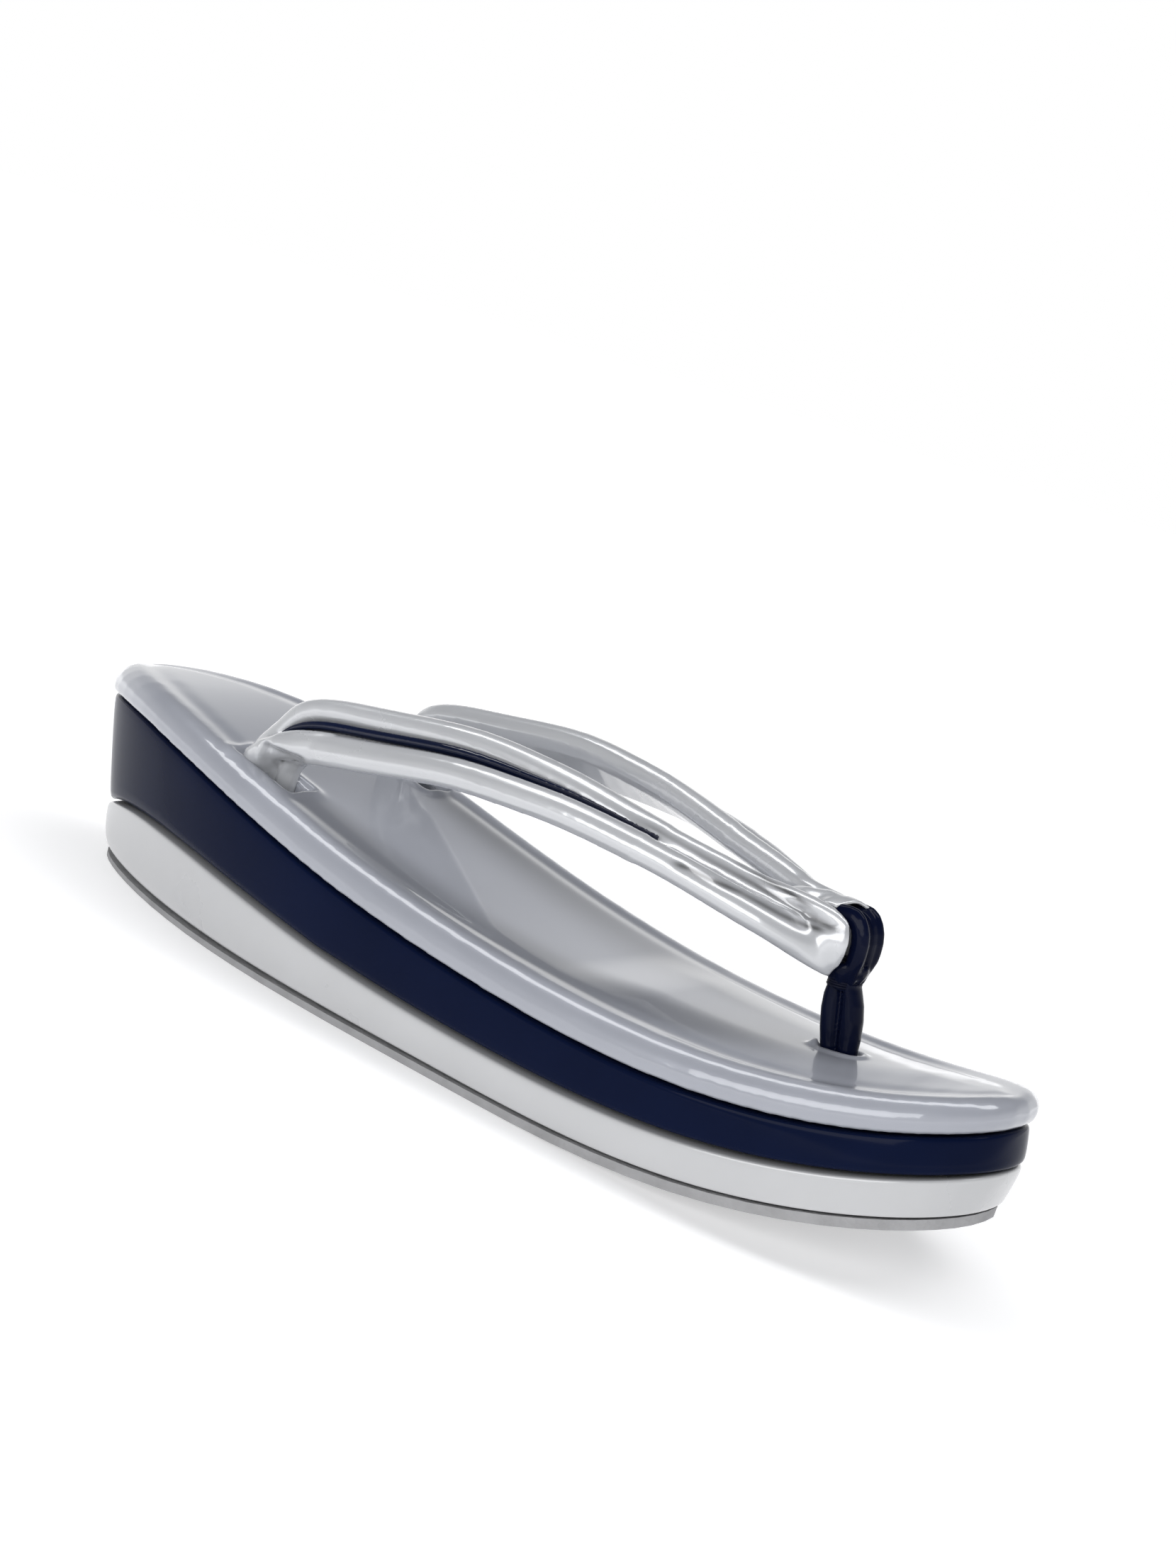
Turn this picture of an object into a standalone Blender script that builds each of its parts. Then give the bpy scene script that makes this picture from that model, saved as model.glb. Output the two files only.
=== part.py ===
"""Enamel zori sandal: a two-band wedge sole, a padded top and a thong strap of twin padded rolls.

Metres, +Z up, toe towards +X. The origin is on the floor, under the middle of the sandal.
"""
import math
from collections import namedtuple

import bmesh
import bpy
import numpy as np
from mathutils import Vector

# Driving sizes of the sole, in metres
LENGTH = 0.239
WIDTH = 0.0750
NAVY_BAND = 0.0283
SILVER_BAND = 0.0162
TOE_SPRING = 0.0165
OUTSOLE_AT_HEEL = 0.0013
OUTSOLE_AT_TOE = 0.0025
PAD_THICKNESS = 0.0071

# Edges of the layers
RIM_REACH = 0.0055
RIM_UNDERCUT = 0.0009
BELLY_HEIGHT = 0.0021
BAND_EDGE = 0.0013
TURNED_EDGE = 0.0005
HEEL_CORNER = 0.0045
TOE_CORNER = 0.0008

# How far each level stands in from the plan outline, at the heel and at the toe
PAD_TUCK = (0.0, 0.0010)
NAVY_TOP_TUCK = (0.0008, 0.0012)
BAND_SEAM_TUCK = (0.0058, 0.0)
SILVER_FOOT_TUCK = (0.0066, 0.0010)
OUTSOLE_TUCK = (0.0088, 0.0018)

# Driving sizes of the strap, toe post and toe loop
STRAP_BREADTH = 0.0158
STRAP_THICKNESS = 0.0062
STRAP_RISE = 0.0335
ROOT_SPREAD = 0.0268
STRAP_DEPTH_IN_PAD = 0.0046
GROOVE_HALF_WIDTH = 0.0012
FOLD_HALF_WIDTH = 0.0002
INLAY_DEPTH = 0.0020
POST_HEIGHT = 0.0142
FOLD_ABOVE_POST = 0.0113
POST_LOBE = 0.00245
POST_LEAN = 0.0036
POST_DEPTH_IN_PAD = 0.0046
POST_SHARE = 0.832
LOOP_REACH = 0.0150
LOOP_BREADTH = 0.0098
LOOP_THICKNESS = 0.0034

# Clearances between neighbouring pieces
GAP = 0.0003

# Fineness of the facets
OUTLINE_STEPS = 72
STRAP_STEPS = 44
INLAY_STEPS = 30
LOOP_STEPS = 30

# Angle in degrees past which an edge is shaded sharp
SHARP_ANGLE = 35.0

# Share of a path over which its direction is taken
HEADING_SHARE = 0.004

# Share of a rounded corner's size by which its middle stands in from the sharp corner
CORNER_SHARE = 0.29

# One row per station of the sole. along: share of LENGTH from the heel. fullness: share of half
# WIDTH before the ends are rounded. navy and silver: each band's height there, as a share of
# NAVY_BAND and SILVER_BAND.
Station = namedtuple("Station", "along fullness navy silver")
STATIONS = (
    Station(0.00, 0.830, 1.000, 0.444),
    Station(0.05, 0.905, 0.887, 0.753),
    Station(0.10, 0.965, 0.806, 0.926),
    Station(0.20, 1.029, 0.693, 1.000),
    Station(0.30, 1.037, 0.608, 0.889),
    Station(0.40, 1.013, 0.530, 0.728),
    Station(0.50, 0.984, 0.463, 0.617),
    Station(0.60, 0.979, 0.406, 0.568),
    Station(0.70, 1.013, 0.360, 0.549),
    Station(0.80, 1.067, 0.325, 0.531),
    Station(0.90, 1.104, 0.297, 0.525),
    Station(1.00, 1.128, 0.286, 0.531),
)
# Power of the rounding of the outline's two ends, at the heel and at the toe
ROUNDNESS = (0.86, 0.85)
SPRING_SHARE = 0.57
SPRING_POWER = 2.5

# One row per fold of one side of the strap, along the groove on its face. along: share of LENGTH
# from the heel. out: share of ROOT_SPREAD from the middle. rise and tied: its height above the top,
# as a share of STRAP_RISE and a share of the height of the fold that is tied over the toe post.
# bank: degrees that the face leans outwards. breadth: share of STRAP_BREADTH. lower: share of the
# breadth that the lower roll takes. groove: share of GROOVE_HALF_WIDTH.
Fold = namedtuple("Fold", "along out rise tied bank breadth lower groove")
FOLDS = (
    Fold(0.2750, 1.000, 0.000, 0.000, 90.0, 0.96, 0.58, 0.0),
    Fold(0.2750, 1.000, 0.115, 0.000, 84.0, 0.96, 0.58, 0.0),
    Fold(0.2810, 0.985, 0.255, 0.000, 74.0, 0.96, 0.58, 0.5),
    Fold(0.3070, 0.965, 0.425, 0.000, 62.0, 0.97, 0.57, 1.0),
    Fold(0.3590, 0.955, 0.600, 0.000, 52.0, 1.00, 0.55, 1.0),
    Fold(0.4620, 0.925, 0.875, 0.000, 40.0, 1.00, 0.52, 1.0),
    Fold(0.5430, 0.850, 0.978, 0.000, 28.0, 1.00, 0.50, 0.8),
    Fold(0.6050, 0.765, 1.000, 0.000, 19.0, 0.98, 0.50, 0.5),
    Fold(0.6770, 0.620, 0.700, 0.343, 15.0, 0.96, 0.52, 0.1),
    Fold(0.7410, 0.460, 0.300, 0.772, 25.0, 0.94, 0.58, 0.0),
    Fold(0.7830, 0.245, 0.000, 1.079, 46.0, 0.92, 0.68, 0.0),
    Fold(0.8060, 0.095, 0.000, 1.000, 60.0, 0.88, 0.72, 0.0),
)
# The inlay's ends, as shares of the way along the rows, and its section: the half width left at
# its pointed ends, as a share of GROOVE_HALF_WIDTH, and the height at which its top rounds over
INLAY_START_SHARE = 0.16
INLAY_END_SHARE = 0.70
INLAY_TIP_SHARE = 0.15
INLAY_SHOULDER_SHARE = 0.75

# Distance of each tube of the post from its axis, as a share of the tube's radius
LOBE_SPREAD_SHARE = 0.95

# One row per level of the toe post. level: share of POST_HEIGHT above the top. girth: share of
# POST_LOBE.
Level = namedtuple("Level", "level girth")
POST_LEVELS = (
    Level(0.00, 0.84),
    Level(0.15, 0.92),
    Level(0.45, 1.03),
    Level(0.70, 1.02),
    Level(0.88, 0.93),
    Level(1.00, 0.80),
)

# One row per bend of the toe loop, from behind the strap, over it and down its front. ahead and
# rise: shares of LOOP_REACH, from the top of the post. breadth: share of LOOP_BREADTH.
Bend = namedtuple("Bend", "ahead rise breadth")
BENDS = (
    Bend(-0.16, 0.17, 0.36),
    Bend(-0.46, 0.21, 0.36),
    Bend(-0.84, 0.40, 0.40),
    Bend(-1.05, 0.68, 0.42),
    Bend(-1.00, 0.90, 0.50),
    Bend(-0.74, 0.97, 0.70),
    Bend(-0.40, 0.96, 0.95),
    Bend(-0.10, 0.88, 1.00),
    Bend(0.07, 0.66, 1.00),
    Bend(0.10, 0.34, 0.92),
    Bend(0.05, 0.06, 0.70),
)

# A value and the number of its row, in the tables that are read row by row
Numbered = namedtuple("Numbered", "row value")


def smooth(rows, column, key, place):
    """Value of one column of a table at a place along its key column, on a smooth curve."""
    keys = [getattr(row, key) for row in rows]
    values = [getattr(row, column) for row in rows]
    slopes = np.gradient(values, keys)
    place = min(max(place, keys[0]), keys[-1])
    i = min(max(int(np.searchsorted(keys, place)) - 1, 0), len(keys) - 2)
    span = keys[i + 1] - keys[i]
    t = (place - keys[i]) / span
    start = (2 * t**3 - 3 * t**2 + 1) * values[i] + (t**3 - 2 * t**2 + t) * span * slopes[i]
    end = (3 * t**2 - 2 * t**3) * values[i + 1] + (t**3 - t**2) * span * slopes[i + 1]
    return start + end


def smooth_by_row(rows, column, place):
    """Value of one column at a share of the way through the rows, each row one step apart."""
    numbered = [Numbered(i, getattr(row, column)) for i, row in enumerate(rows)]
    return smooth(numbered, "value", "row", place * (len(rows) - 1))


def mix(pair, share):
    """Value between a pair's first, at share 0, and its second, at share 1."""
    return pair[0] + (pair[1] - pair[0]) * share


def along_of(x):
    """Share of the length, from the heel, at which x lies."""
    return x / LENGTH + 0.5


def floor_height(x):
    """Underside of the outsole: flat from the heel to the ball, then the toe spring."""
    past = max(along_of(x) - SPRING_SHARE, 0.0) / (1.0 - SPRING_SHARE)
    return TOE_SPRING * past**SPRING_POWER


def outsole_top(x):
    return floor_height(x) + mix((OUTSOLE_AT_HEEL, OUTSOLE_AT_TOE), along_of(x))


def band_seam(x):
    """Height of the seam between the silver and the navy band."""
    return outsole_top(x) + SILVER_BAND * smooth(STATIONS, "silver", "along", along_of(x))


def pad_seam(x):
    """Height of the seam between the navy band and the padded top."""
    return band_seam(x) + NAVY_BAND * smooth(STATIONS, "navy", "along", along_of(x))


def pad_top(x):
    return pad_seam(x) + PAD_THICKNESS


def both_ends(value):
    """A heel and toe pair, from a pair or from one value for both ends."""
    return value if isinstance(value, tuple) else (value, value)


def ring(height, tuck, extra=0.0, lift=0.0):
    """Closed ring of points at a height, standing in from the plan outline at heel and toe.

    It starts at the heel's end and runs to the toe along the near side. The height is a function
    of x, so the faces of two neighbouring layers follow the same surface.
    """
    heel, toe = (a + b for a, b in zip(tuck, both_ends(extra)))
    points = []
    for step in range(OUTLINE_STEPS):
        turn = 2.0 * math.pi * step / OUTLINE_STEPS
        along = (1.0 - math.cos(turn)) / 2.0
        swell = abs(math.sin(turn)) ** mix(ROUNDNESS, along)
        half = WIDTH / 2.0 * smooth(STATIONS, "fullness", "along", along)
        half = (half - mix((heel, toe), along)) * swell
        x = -LENGTH / 2.0 + heel + (LENGTH - heel - toe) * along
        y = -math.copysign(half, math.sin(turn))
        points.append(Vector((x, y, height(x) + mix(both_ends(lift), along))))
    return points


def loft_rings(name, rings):
    """Solid between stacked rings, closed by strips that run straight across the sandal."""
    count = len(rings[0])
    faces = []
    for level in range(len(rings) - 1):
        low, high = level * count, (level + 1) * count
        for j in range(count):
            k = (j + 1) % count
            faces.append((low + j, low + k, high + k, high + j))
    last = (len(rings) - 1) * count
    for j in range(count // 2):
        strip = (j, j + 1, (count - j - 1) % count, (count - j) % count)
        corners = list(dict.fromkeys(strip))
        faces.append([last + corner for corner in corners])
        faces.append(list(reversed(corners)))
    return mesh_object(name, [p for level in rings for p in level], faces)


def mesh_object(name, points, faces):
    """Object made of the points and faces, with its faces turned outwards and shaded smooth."""
    mesh = bpy.data.meshes.new(name)
    mesh.from_pydata([tuple(p) for p in points], [], faces)
    work = bmesh.new()
    work.from_mesh(mesh)
    bmesh.ops.recalc_face_normals(work, faces=work.faces)
    work.to_mesh(mesh)
    work.free()
    mesh.shade_smooth()
    mesh.set_sharp_from_angle(angle=math.radians(SHARP_ANGLE))
    return bpy.data.objects.new(name, mesh)


def twin_roll_section(breadth, thickness, groove, lower=0.5, grow=0.0):
    """Section of two rolls side by side, as (across, depth) with the face's crest at depth 0.

    The groove between them is at across 0, and the lower roll, on the positive side, takes its
    share of the breadth.
    """
    half = thickness / 2.0 + grow
    points = []
    for side, share, angles in ((1, lower, (180, 150, 120, 90, 60, 30, 0, -45, -90)),
                                (-1, 1.0 - lower, (-90, -45, 0, 30, 60, 90, 120, 150, 180))):
        radius = (breadth * share + grow - groove) / 2.0
        for angle in angles:
            turn = math.radians(angle)
            across = side * (groove + radius + radius * math.cos(turn))
            points.append((across, half * math.sin(turn) - thickness / 2.0))
    return points


def sweep(name, sections):
    """Solid through equal closed sections, with a flat face at each end."""
    count = len(sections[0])
    faces = [list(range(count))]
    for level in range(len(sections) - 1):
        low, high = level * count, (level + 1) * count
        for j in range(count):
            k = (j + 1) % count
            faces.append((low + j, low + k, high + k, high + j))
    last = (len(sections) - 1) * count
    faces.append([last + j for j in reversed(range(count))])
    return mesh_object(name, [p for section in sections for p in section], faces)


def fold_point(place):
    """Point on the near side's groove line, at a share of the rows from root to front."""
    along = smooth_by_row(FOLDS, "along", place)
    x = (along - 0.5) * LENGTH
    out = ROOT_SPREAD * smooth_by_row(FOLDS, "out", place)
    arched = STRAP_RISE * smooth_by_row(FOLDS, "rise", place)
    tied = (POST_HEIGHT + FOLD_ABOVE_POST) * smooth_by_row(FOLDS, "tied", place)
    return Vector((x, -out, pad_top(x) + arched + tied))


def heading(path, place):
    """Direction in which a path of points runs at a share of its length."""
    ahead = path(min(place + HEADING_SHARE, 1.0)) - path(max(place - HEADING_SHARE, 0.0))
    return ahead.normalized()


def strap_frame(place):
    """Point on the strap's face there, with its directions across the strap and out of it."""
    ahead = heading(fold_point, place)
    bank = math.radians(smooth_by_row(FOLDS, "bank", place))
    proud = Vector((0.0, -math.sin(bank), math.cos(bank)))
    proud = (proud - ahead * proud.dot(ahead)).normalized()
    return fold_point(place), ahead.cross(proud), proud


def strap_half(name, side, grow=0.0):
    """One side of the strap, from its end inside the top to past the middle at the front.

    side is 1 for the near side and -1 for its mirror image. grow makes the room that it needs.
    """
    sections = []
    for i in range(STRAP_STEPS):
        place = i / (STRAP_STEPS - 1)
        point, across, proud = strap_frame(place)
        groove = max(GROOVE_HALF_WIDTH * smooth_by_row(FOLDS, "groove", place), FOLD_HALF_WIDTH)
        breadth = STRAP_BREADTH * smooth_by_row(FOLDS, "breadth", place)
        if grow:
            groove = FOLD_HALF_WIDTH
        lower = smooth_by_row(FOLDS, "lower", place)
        section = twin_roll_section(breadth, STRAP_THICKNESS, groove, lower, grow)
        sections.append([point + across * a + proud * d for a, d in section])
    root = Vector((0.0, 0.0, STRAP_DEPTH_IN_PAD + grow))
    sections.insert(0, [corner - root for corner in sections[0]])
    if grow:
        end = (fold_point(1.0) - fold_point(0.99)).normalized() * grow
        sections[-1] = [corner + end for corner in sections[-1]]
    return sweep(name, [[on_side(corner, side) for corner in section] for section in sections])


def on_side(point, side):
    """The near side's point, or its mirror image where side is -1."""
    return Vector((point.x, side * point.y, point.z))


def inlay(name, side):
    """Navy strip in the groove between the two rolls, pointed at both ends."""
    sections = []
    for i in range(INLAY_STEPS):
        share = i / (INLAY_STEPS - 1)
        place = mix((INLAY_START_SHARE, INLAY_END_SHARE), share)
        point, across, proud = strap_frame(place)
        groove = GROOVE_HALF_WIDTH * smooth_by_row(FOLDS, "groove", place)
        half = max(groove - GAP, INLAY_TIP_SHARE * GROOVE_HALF_WIDTH)
        low = -STRAP_THICKNESS / 2.0 + GAP
        crown = low + min(INLAY_DEPTH, STRAP_THICKNESS / 2.0 - GAP)
        shoulder = mix((low, crown), INLAY_SHOULDER_SHARE)
        section = ((-half, low), (half, low), (half, shoulder),
                   (half / 2.0, crown), (-half / 2.0, crown), (-half, shoulder))
        sections.append([on_side(point + across * a + proud * d, side) for a, d in section])
    return sweep(name, sections)


def post_foot():
    """Place where the toe post's axis meets the padded top."""
    x = (POST_SHARE - 0.5) * LENGTH
    return Vector((x, 0.0, pad_top(x)))


def post_axis(level):
    """Point on the toe post's axis at a share of its height."""
    return post_foot() + Vector((-POST_LEAN * level, 0.0, POST_HEIGHT * level))


def post_section(centre, lobe, grow=0.0):
    """Two padded tubes side by side, one ahead of the other."""
    points = []
    for side in (1, -1):
        for angle in (-105, -70, -35, 0, 35, 70, 105):
            turn = math.radians(angle)
            ahead = side * (LOBE_SPREAD_SHARE * lobe + (lobe + grow) * math.cos(turn))
            across = side * (lobe + grow) * math.sin(turn)
            points.append(centre + Vector((ahead, across, 0.0)))
    return points


def toe_post(name, grow=0.0):
    """Twin navy tubes, pinched where they are tied under the strap, let into the top."""
    sunk = post_axis(-(POST_DEPTH_IN_PAD + grow) / POST_HEIGHT)
    sections = [post_section(sunk, POST_LOBE * POST_LEVELS[0].girth, grow)]
    for row in POST_LEVELS:
        sections.append(post_section(post_axis(row.level), POST_LOBE * row.girth, grow))
    return sweep(name, sections)


def bend_point(place):
    """Point on the toe loop's middle line."""
    ahead = LOOP_REACH * smooth_by_row(BENDS, "ahead", place)
    rise = LOOP_REACH * smooth_by_row(BENDS, "rise", place)
    return post_axis(1.0) + Vector((ahead, 0.0, rise))


def toe_loop(name):
    """Navy band that goes over the joined front of the strap, ridged like the strap's rolls."""
    sections = []
    for i in range(LOOP_STEPS):
        place = i / (LOOP_STEPS - 1)
        across = Vector((0.0, -1.0, 0.0))
        proud = across.cross(heading(bend_point, place))
        breadth = LOOP_BREADTH * smooth_by_row(BENDS, "breadth", place)
        section = twin_roll_section(breadth, LOOP_THICKNESS, FOLD_HALF_WIDTH)
        middle = bend_point(place) + proud * (LOOP_THICKNESS / 2.0)
        sections.append([middle + across * a + proud * d for a, d in section])
    return sweep(name, sections)


def outsole():
    return loft_rings("outsole", [ring(floor_height, OUTSOLE_TUCK),
                                  ring(outsole_top, OUTSOLE_TUCK, lift=-GAP)])


def silver_wedge():
    """Lower band: rounded under at the heel, with a soft upper edge."""
    corner = (HEEL_CORNER, TOE_CORNER)
    knee = tuple(CORNER_SHARE * size for size in corner)
    return loft_rings("lower_wedge", [
        ring(outsole_top, SILVER_FOOT_TUCK, extra=corner),
        ring(outsole_top, SILVER_FOOT_TUCK, extra=knee, lift=knee),
        ring(outsole_top, SILVER_FOOT_TUCK, lift=corner),
        ring(band_seam, BAND_SEAM_TUCK, lift=-BAND_EDGE - GAP),
        ring(band_seam, BAND_SEAM_TUCK, extra=CORNER_SHARE * BAND_EDGE, lift=-CORNER_SHARE * BAND_EDGE - GAP),
        ring(band_seam, BAND_SEAM_TUCK, extra=BAND_EDGE, lift=-GAP),
    ])


def navy_wedge():
    """Upper band, with a soft upper edge under the padded top."""
    return loft_rings("upper_wedge", [
        ring(band_seam, BAND_SEAM_TUCK, extra=TURNED_EDGE),
        ring(band_seam, BAND_SEAM_TUCK, lift=TURNED_EDGE),
        ring(pad_seam, NAVY_TOP_TUCK, lift=-BAND_EDGE - GAP),
        ring(pad_seam, NAVY_TOP_TUCK, extra=CORNER_SHARE * BAND_EDGE, lift=-CORNER_SHARE * BAND_EDGE - GAP),
        ring(pad_seam, NAVY_TOP_TUCK, extra=BAND_EDGE, lift=-GAP),
    ])


def padded_top():
    """Padded board with a broad rounded rim, undercut at the seam."""
    rings = [ring(pad_seam, PAD_TUCK, extra=RIM_UNDERCUT)]
    for angle in (-40, 0, 20, 40, 60, 76, 90):
        turn = math.radians(angle)
        inward = RIM_REACH if angle > 0 else RIM_UNDERCUT
        reach = inward * (1.0 - math.cos(turn))
        rise = BELLY_HEIGHT * (1.0 + min(math.sin(turn), 0.0))
        rise += (PAD_THICKNESS - BELLY_HEIGHT) * max(math.sin(turn), 0.0)
        rings.append(ring(pad_seam, PAD_TUCK, extra=reach, lift=rise))
    return loft_rings("padded_top", rings)


def enamel(name, color, roughness, metallic):
    """Principled material of a piece."""
    material = bpy.data.materials.new(name)
    material.use_nodes = True
    shader = material.node_tree.nodes["Principled BSDF"]
    shader.inputs["Base Color"].default_value = (*color, 1.0)
    shader.inputs["Roughness"].default_value = roughness
    shader.inputs["Metallic"].default_value = metallic
    return material


def combine(target, tool, operation):
    """Joins the tool's shape to the target, or cuts it out."""
    boolean = target.modifiers.new(operation.lower() + "_" + tool.name, "BOOLEAN")
    boolean.operation = operation
    boolean.solver = "EXACT"
    boolean.object = tool


def collection(name):
    group = bpy.data.collections.new(name)
    bpy.context.scene.collection.children.link(group)
    return group


def main():
    for item in list(bpy.data.objects):
        bpy.data.objects.remove(item, do_unlink=True)
    parts = collection("zori_sandal")
    cutters = collection("cutters")

    far_half = strap_half("far_half", -1)
    near_room = strap_half("near_room", 1, grow=GAP)
    far_room = strap_half("far_room", -1, grow=GAP)
    post_room = toe_post("post_room", grow=GAP)
    for tool in (far_half, near_room, far_room, post_room):
        tool.hide_render = True
        tool.display_type = "WIRE"
        cutters.objects.link(tool)

    strap = strap_half("strap", 1)
    combine(strap, far_half, "UNION")
    top = padded_top()
    loop = toe_loop("toe_loop")
    for room in (near_room, far_room, post_room):
        combine(top, room, "DIFFERENCE")
    for room in (near_room, far_room):
        combine(loop, room, "DIFFERENCE")

    silver = (0.45, 0.47, 0.52)
    navy = (0.008, 0.010, 0.045)
    pieces = (
        (outsole(), enamel("outsole_rubber", (0.25, 0.25, 0.26), 0.75, 0.0)),
        (silver_wedge(), enamel("lower_wedge_enamel", (0.55, 0.56, 0.60), 0.25, 0.6)),
        (navy_wedge(), enamel("upper_wedge_enamel", navy, 0.15, 0.0)),
        (top, enamel("padded_top_enamel", silver, 0.25, 0.6)),
        (strap, enamel("strap_enamel", (0.60, 0.61, 0.65), 0.22, 0.7)),
        (inlay("strap_inlay_near", 1), enamel("inlay_near_enamel", navy, 0.12, 0.0)),
        (inlay("strap_inlay_far", -1), enamel("inlay_far_enamel", navy, 0.12, 0.0)),
        (toe_post("toe_post"), enamel("toe_post_enamel", navy, 0.15, 0.0)),
        (loop, enamel("toe_loop_enamel", navy, 0.15, 0.0)),
    )
    for item, material in pieces:
        item.data.materials.append(material)
        parts.objects.link(item)


main()
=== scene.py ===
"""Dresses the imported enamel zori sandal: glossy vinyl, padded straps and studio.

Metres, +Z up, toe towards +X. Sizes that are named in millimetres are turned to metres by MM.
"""
import math
from collections import namedtuple

import bpy
import numpy as np
from mathutils import Matrix, Vector


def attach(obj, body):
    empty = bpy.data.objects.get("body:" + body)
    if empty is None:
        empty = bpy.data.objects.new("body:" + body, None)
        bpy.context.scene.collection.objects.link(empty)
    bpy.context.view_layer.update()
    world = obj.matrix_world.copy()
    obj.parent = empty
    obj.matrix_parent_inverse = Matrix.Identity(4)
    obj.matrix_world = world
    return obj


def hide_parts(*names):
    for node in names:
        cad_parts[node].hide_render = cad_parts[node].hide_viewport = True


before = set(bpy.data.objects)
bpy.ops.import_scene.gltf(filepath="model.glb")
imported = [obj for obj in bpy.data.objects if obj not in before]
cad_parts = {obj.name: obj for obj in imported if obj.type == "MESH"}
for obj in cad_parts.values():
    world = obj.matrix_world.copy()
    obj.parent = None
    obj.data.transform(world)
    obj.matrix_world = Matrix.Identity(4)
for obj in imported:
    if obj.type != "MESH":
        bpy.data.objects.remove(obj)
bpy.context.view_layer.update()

# Camera. It looks along the sandal from its near side at a low angle, with the photograph's
# roll, and its frame is the photograph's 1659 by 2212.
MM = 0.001
PHOTO_WIDTH = 1659.0
PHOTO_HEIGHT = 2212.0
CAMERA_AZIMUTH = math.radians(32.0)
CAMERA_ELEVATION = math.radians(15.1)
CAMERA_ROLL = math.radians(17.3)
CAMERA_DISTANCE = 0.494
CAMERA_TARGET = Vector((-0.0015, 0.0, 0.025))
TARGET_PIXEL = (710.0, 1309.0)
PIXELS_PER_MM = 6.727
SENSOR = 36.0
CLIP_START = 0.01

back = Vector((math.sin(CAMERA_AZIMUTH) * math.cos(CAMERA_ELEVATION),
               -math.cos(CAMERA_AZIMUTH) * math.cos(CAMERA_ELEVATION),
               math.sin(CAMERA_ELEVATION)))
level_right = Vector((0.0, 0.0, 1.0)).cross(back).normalized()
level_up = back.cross(level_right)
rolled_right = level_right * math.cos(CAMERA_ROLL) + level_up * math.sin(CAMERA_ROLL)
rolled_up = level_up * math.cos(CAMERA_ROLL) - level_right * math.sin(CAMERA_ROLL)
turned = Matrix((rolled_right, rolled_up, back)).transposed().to_4x4()

camera_data = bpy.data.cameras.new("photo_camera")
camera = bpy.data.objects.new("photo_camera", camera_data)
bpy.context.scene.collection.objects.link(camera)
camera.matrix_world = Matrix.Translation(CAMERA_TARGET + back * CAMERA_DISTANCE) @ turned
camera_data.sensor_width = SENSOR
camera_data.lens = PIXELS_PER_MM * CAMERA_DISTANCE / MM / PHOTO_HEIGHT * SENSOR
camera_data.shift_x = (PHOTO_WIDTH / 2.0 - TARGET_PIXEL[0]) / PHOTO_HEIGHT
camera_data.shift_y = (TARGET_PIXEL[1] - PHOTO_HEIGHT / 2.0) / PHOTO_HEIGHT
camera_data.clip_start = CLIP_START
bpy.context.scene.camera = camera

# Studio. A plain white sweep that is lit from below away from the shoe, a sky that is white low
# down, dark overhead and dim on the heel's near side, and long soft lamps above and in front.
FLOOR_RADIUS = 6.0
FLOOR_SIDES = 96
FLOOR_GLOW_NEAR = 0.34
FLOOR_GLOW_FAR = 1.0
FLOOR_GLOW_FROM = 0.16
FLOOR_GLOW_TO = 0.60
PAPER_COLOR = (0.85, 0.85, 0.855, 1.0)
PAPER_ROUGHNESS = 0.9
PAPER_SPECULAR = 0.1
PAPER_GLOW_COLOR = (1.0, 1.0, 1.0, 1.0)
SKY_LOW = (1.0, 1.0, 1.0, 1.0)
SKY_LOW_TO = 0.22
SKY_HIGH = (0.17, 0.175, 0.19, 1.0)
SKY_HIGH_FROM = 0.50
SKY_DIM_SIDE = (-0.45, -0.89, 0.0)
SKY_DIM_TO = 0.40
bpy.context.scene.view_settings.view_transform = "Standard"

bpy.ops.object.select_all(action="DESELECT")
bpy.ops.mesh.primitive_circle_add(vertices=FLOOR_SIDES, radius=FLOOR_RADIUS, fill_type="NGON",
                                  location=(0.0, 0.0, 0.0))
floor = bpy.context.object
floor.name = "studio_floor"
paper = bpy.data.materials.new("white_paper")
paper.use_nodes = True
paper_shader = paper.node_tree.nodes["Principled BSDF"]
paper_shader.inputs["Base Color"].default_value = PAPER_COLOR
paper_shader.inputs["Roughness"].default_value = PAPER_ROUGHNESS
paper_shader.inputs["Specular IOR Level"].default_value = PAPER_SPECULAR
paper_shader.inputs["Emission Color"].default_value = PAPER_GLOW_COLOR
paper_place = paper.node_tree.nodes.new("ShaderNodeTexCoord")
paper_reach = paper.node_tree.nodes.new("ShaderNodeVectorMath")
paper_reach.operation = "LENGTH"
paper_glow = paper.node_tree.nodes.new("ShaderNodeMapRange")
paper_glow.interpolation_type = "SMOOTHSTEP"
for socket, value in (("From Min", FLOOR_GLOW_FROM), ("From Max", FLOOR_GLOW_TO),
                      ("To Min", FLOOR_GLOW_NEAR), ("To Max", FLOOR_GLOW_FAR)):
    paper_glow.inputs[socket].default_value = value
paper_links = paper.node_tree.links
paper_links.new(paper_place.outputs["Object"], paper_reach.inputs[0])
paper_links.new(paper_reach.outputs["Value"], paper_glow.inputs["Value"])
paper_links.new(paper_glow.outputs["Result"], paper_shader.inputs["Emission Strength"])
floor.data.materials.append(paper)

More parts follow.
